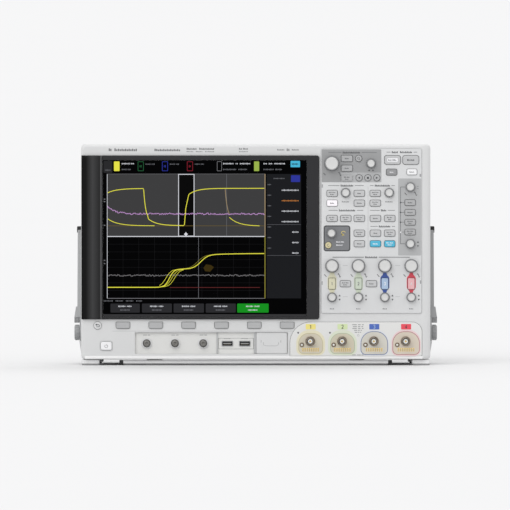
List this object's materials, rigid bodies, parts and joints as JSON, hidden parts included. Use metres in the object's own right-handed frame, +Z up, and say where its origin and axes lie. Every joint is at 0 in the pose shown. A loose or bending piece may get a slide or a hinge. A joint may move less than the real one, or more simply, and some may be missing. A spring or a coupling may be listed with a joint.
{
  "type": "logic analyzer",
  "caption": "Bench oscilloscope and logic analyzer with a large screen, rotary knobs and keys, coaxial inputs, swinging handle and fold-out tilt stand.",
  "frame": {"origin": "on the bench, under the middle of the object's box", "axes": "+X to the user's right, -Y faces the user, +Z up"},
  "size_m": [0.4524, 0.156, 0.2745],
  "materials": {
    "case_plastic": "fine moulded texture, satin",
    "stand_plastic": "smooth moulded, satin",
    "surround_plastic": "smooth, dark grey, satin",
    "screen_glass": "black when unlit, polished",
    "overlay_plastic": "fine texture with printed zones",
    "panel_plastic": "fine texture",
    "keypad_rubber": "silicone rubber, matt",
    "knob_plastic": "off-white cap over a grey ribbed skirt",
    "key_plastic": "satin",
    "power_key_plastic": "satin, off-white",
    "channel_yellow_plastic": "translucent satin",
    "channel_green_plastic": "translucent satin",
    "channel_blue_plastic": "translucent satin",
    "channel_red_plastic": "translucent satin",
    "circuit_board": "green solder mask",
    "sheet_steel": "zinc-plated sheet",
    "lcd_frame": "pressed metal frame round a glass and plastic panel",
    "input_metal": "nickel-flashed brass",
    "terminal_metal": "turned, dull",
    "port_metal": "plated, dull",
    "black_plastic": "moulded, matt",
    "handle_metal": "die-cast, painted grey",
    "grip_rubber": "soft, matt",
    "hub_plastic": "moulded, matt",
    "foot_rubber": "matt"
  },
  "bodies": {
    "case": {"front_bezel": "case_plastic", "display_surround": "surround_plastic", "touch_glass": "screen_glass", "lcd_module": "lcd_frame", "control_overlay": "overlay_plastic", "keypad_mat": "keypad_rubber", "keyboard_board": "circuit_board", "input_panel": "panel_plastic", "channel_1_input": "input_metal", "channel_2_input": "input_metal", "channel_3_input": "input_metal", "channel_4_input": "input_metal", "connector_panel": "panel_plastic", "test_terminals": "terminal_metal", "usb_ports": "port_metal", "digital_input_blank": "panel_plastic", "rear_case": "case_plastic", "chassis": "sheet_steel", "acquisition_board": "circuit_board", "power_supply": "sheet_steel", "fan_frame": "black_plastic", "ac_inlet": "black_plastic", "rear_connectors": "port_metal", "handle_hub_left": "hub_plastic", "handle_hub_right": "hub_plastic", "front_foot_left": "foot_rubber", "front_foot_right": "foot_rubber"},
    "horizontal_scale_dial": {"horizontal_scale_knob": "knob_plastic"},
    "horizontal_position_dial": {"horizontal_position_knob": "knob_plastic"},
    "trigger_level_dial": {"trigger_level_knob": "knob_plastic"},
    "cursors_dial": {"cursors_knob": "knob_plastic"},
    "entry_dial": {"entry_knob": "knob_plastic"},
    "multi_scale_dial": {"multi_scale_knob": "knob_plastic"},
    "multi_position_dial": {"multi_position_knob": "knob_plastic"},
    "channel_1_scale_dial": {"channel_1_scale_knob": "knob_plastic"},
    "channel_2_scale_dial": {"channel_2_scale_knob": "knob_plastic"},
    "channel_3_scale_dial": {"channel_3_scale_knob": "knob_plastic"},
    "channel_4_scale_dial": {"channel_4_scale_knob": "knob_plastic"},
    "channel_1_position_dial": {"channel_1_position_knob": "knob_plastic"},
    "channel_2_position_dial": {"channel_2_position_knob": "knob_plastic"},
    "channel_3_position_dial": {"channel_3_position_knob": "knob_plastic"},
    "channel_4_position_dial": {"channel_4_position_knob": "knob_plastic"},
    "run_stop_key_cap": {"run_stop_key": "key_plastic"},
    "single_key_cap": {"single_key": "key_plastic"},
    "channel_1_key_cap": {"channel_1_key": "channel_yellow_plastic"},
    "channel_2_key_cap": {"channel_2_key": "channel_green_plastic"},
    "channel_3_key_cap": {"channel_3_key": "channel_blue_plastic"},
    "channel_4_key_cap": {"channel_4_key": "channel_red_plastic"},
    "soft_key_1_cap": {"soft_key_1": "key_plastic"},
    "soft_key_2_cap": {"soft_key_2": "key_plastic"},
    "soft_key_3_cap": {"soft_key_3": "key_plastic"},
    "soft_key_4_cap": {"soft_key_4": "key_plastic"},
    "soft_key_5_cap": {"soft_key_5": "key_plastic"},
    "soft_key_6_cap": {"soft_key_6": "key_plastic"},
    "back_key_cap": {"back_key": "key_plastic"},
    "power_key_cap": {"power_key": "power_key_plastic"},
    "fan": {"fan_rotor": "black_plastic"},
    "carry_handle": {"handle": "handle_metal", "handle_grip": "grip_rubber"},
    "stand": {"tilt_stand": "stand_plastic"}
  },
  "joints": [
    {"name": "horizontal_scale_turn", "type": "hinge", "parent": "case", "child": "horizontal_scale_dial", "pos_m": [0.0945, -0.07, 0.251], "axis": [0, 1, 0], "continuous": true},
    {"name": "horizontal_position_turn", "type": "hinge", "parent": "case", "child": "horizontal_position_dial", "pos_m": [0.1432, -0.07, 0.251], "axis": [0, 1, 0], "continuous": true},
    {"name": "trigger_level_turn", "type": "hinge", "parent": "case", "child": "trigger_level_dial", "pos_m": [0.1117, -0.07, 0.2146], "axis": [0, 1, 0], "continuous": true},
    {"name": "cursors_turn", "type": "hinge", "parent": "case", "child": "cursors_dial", "pos_m": [0.1658, -0.07, 0.2146], "axis": [0, 1, 0], "continuous": true},
    {"name": "entry_turn", "type": "hinge", "parent": "case", "child": "entry_dial", "pos_m": [0.0941, -0.07, 0.1643], "axis": [0, 1, 0], "continuous": true},
    {"name": "multi_scale_turn", "type": "hinge", "parent": "case", "child": "multi_scale_dial", "pos_m": [0.1921, -0.07, 0.2217], "axis": [0, 1, 0], "continuous": true},
    {"name": "multi_position_turn", "type": "hinge", "parent": "case", "child": "multi_position_dial", "pos_m": [0.1921, -0.07, 0.1512], "axis": [0, 1, 0], "continuous": true},
    {"name": "channel_1_scale_turn", "type": "hinge", "parent": "case", "child": "channel_1_scale_dial", "pos_m": [0.0948, -0.07, 0.1237], "axis": [0, 1, 0], "continuous": true},
    {"name": "channel_2_scale_turn", "type": "hinge", "parent": "case", "child": "channel_2_scale_dial", "pos_m": [0.1276, -0.07, 0.1237], "axis": [0, 1, 0], "continuous": true},
    {"name": "channel_3_scale_turn", "type": "hinge", "parent": "case", "child": "channel_3_scale_dial", "pos_m": [0.1604, -0.07, 0.1237], "axis": [0, 1, 0], "continuous": true},
    {"name": "channel_4_scale_turn", "type": "hinge", "parent": "case", "child": "channel_4_scale_dial", "pos_m": [0.1932, -0.07, 0.1237], "axis": [0, 1, 0], "continuous": true},
    {"name": "channel_1_position_turn", "type": "hinge", "parent": "case", "child": "channel_1_position_dial", "pos_m": [0.0948, -0.07, 0.0847], "axis": [0, 1, 0], "continuous": true},
    {"name": "channel_2_position_turn", "type": "hinge", "parent": "case", "child": "channel_2_position_dial", "pos_m": [0.1276, -0.07, 0.0847], "axis": [0, 1, 0], "continuous": true},
    {"name": "channel_3_position_turn", "type": "hinge", "parent": "case", "child": "channel_3_position_dial", "pos_m": [0.1604, -0.07, 0.0847], "axis": [0, 1, 0], "continuous": true},
    {"name": "channel_4_position_turn", "type": "hinge", "parent": "case", "child": "channel_4_position_dial", "pos_m": [0.1932, -0.07, 0.0847], "axis": [0, 1, 0], "continuous": true},
    {"name": "run_stop_key_press", "type": "slide", "parent": "case", "child": "run_stop_key_cap", "axis": [0, 1, 0], "range_m": [0, 0.001], "stiffness_N_per_m": 400},
    {"name": "single_key_press", "type": "slide", "parent": "case", "child": "single_key_cap", "axis": [0, 1, 0], "range_m": [0, 0.001], "stiffness_N_per_m": 400},
    {"name": "channel_1_key_press", "type": "slide", "parent": "case", "child": "channel_1_key_cap", "axis": [0, 1, 0], "range_m": [0, 0.001], "stiffness_N_per_m": 400},
    {"name": "channel_2_key_press", "type": "slide", "parent": "case", "child": "channel_2_key_cap", "axis": [0, 1, 0], "range_m": [0, 0.001], "stiffness_N_per_m": 400},
    {"name": "channel_3_key_press", "type": "slide", "parent": "case", "child": "channel_3_key_cap", "axis": [0, 1, 0], "range_m": [0, 0.001], "stiffness_N_per_m": 400},
    {"name": "channel_4_key_press", "type": "slide", "parent": "case", "child": "channel_4_key_cap", "axis": [0, 1, 0], "range_m": [0, 0.001], "stiffness_N_per_m": 400},
    {"name": "soft_key_1_press", "type": "slide", "parent": "case", "child": "soft_key_1_cap", "axis": [0, 1, 0], "range_m": [0, 0.001], "stiffness_N_per_m": 400},
    {"name": "soft_key_2_press", "type": "slide", "parent": "case", "child": "soft_key_2_cap", "axis": [0, 1, 0], "range_m": [0, 0.001], "stiffness_N_per_m": 400},
    {"name": "soft_key_3_press", "type": "slide", "parent": "case", "child": "soft_key_3_cap", "axis": [0, 1, 0], "range_m": [0, 0.001], "stiffness_N_per_m": 400},
    {"name": "soft_key_4_press", "type": "slide", "parent": "case", "child": "soft_key_4_cap", "axis": [0, 1, 0], "range_m": [0, 0.001], "stiffness_N_per_m": 400},
    {"name": "soft_key_5_press", "type": "slide", "parent": "case", "child": "soft_key_5_cap", "axis": [0, 1, 0], "range_m": [0, 0.001], "stiffness_N_per_m": 400},
    {"name": "soft_key_6_press", "type": "slide", "parent": "case", "child": "soft_key_6_cap", "axis": [0, 1, 0], "range_m": [0, 0.001], "stiffness_N_per_m": 400},
    {"name": "back_key_press", "type": "slide", "parent": "case", "child": "back_key_cap", "axis": [0, 1, 0], "range_m": [0, 0.001], "stiffness_N_per_m": 400},
    {"name": "power_key_press", "type": "slide", "parent": "case", "child": "power_key_cap", "axis": [0, 1, 0], "range_m": [0, 0.001], "stiffness_N_per_m": 400},
    {"name": "fan_spin", "type": "hinge", "parent": "case", "child": "fan", "pos_m": [0.13, 0.044, 0.095], "axis": [0, 1, 0], "continuous": true},
    {"name": "handle_swing", "type": "hinge", "parent": "case", "child": "carry_handle", "pos_m": [0, 0.01, 0.039], "axis": [-1, 0, 0], "range_deg": [0, 75]},
    {"name": "stand_fold", "type": "hinge", "parent": "case", "child": "stand", "pos_m": [0, 0.002, 0.0044], "axis": [1, 0, 0], "range_deg": [0, 75]}
  ]
}
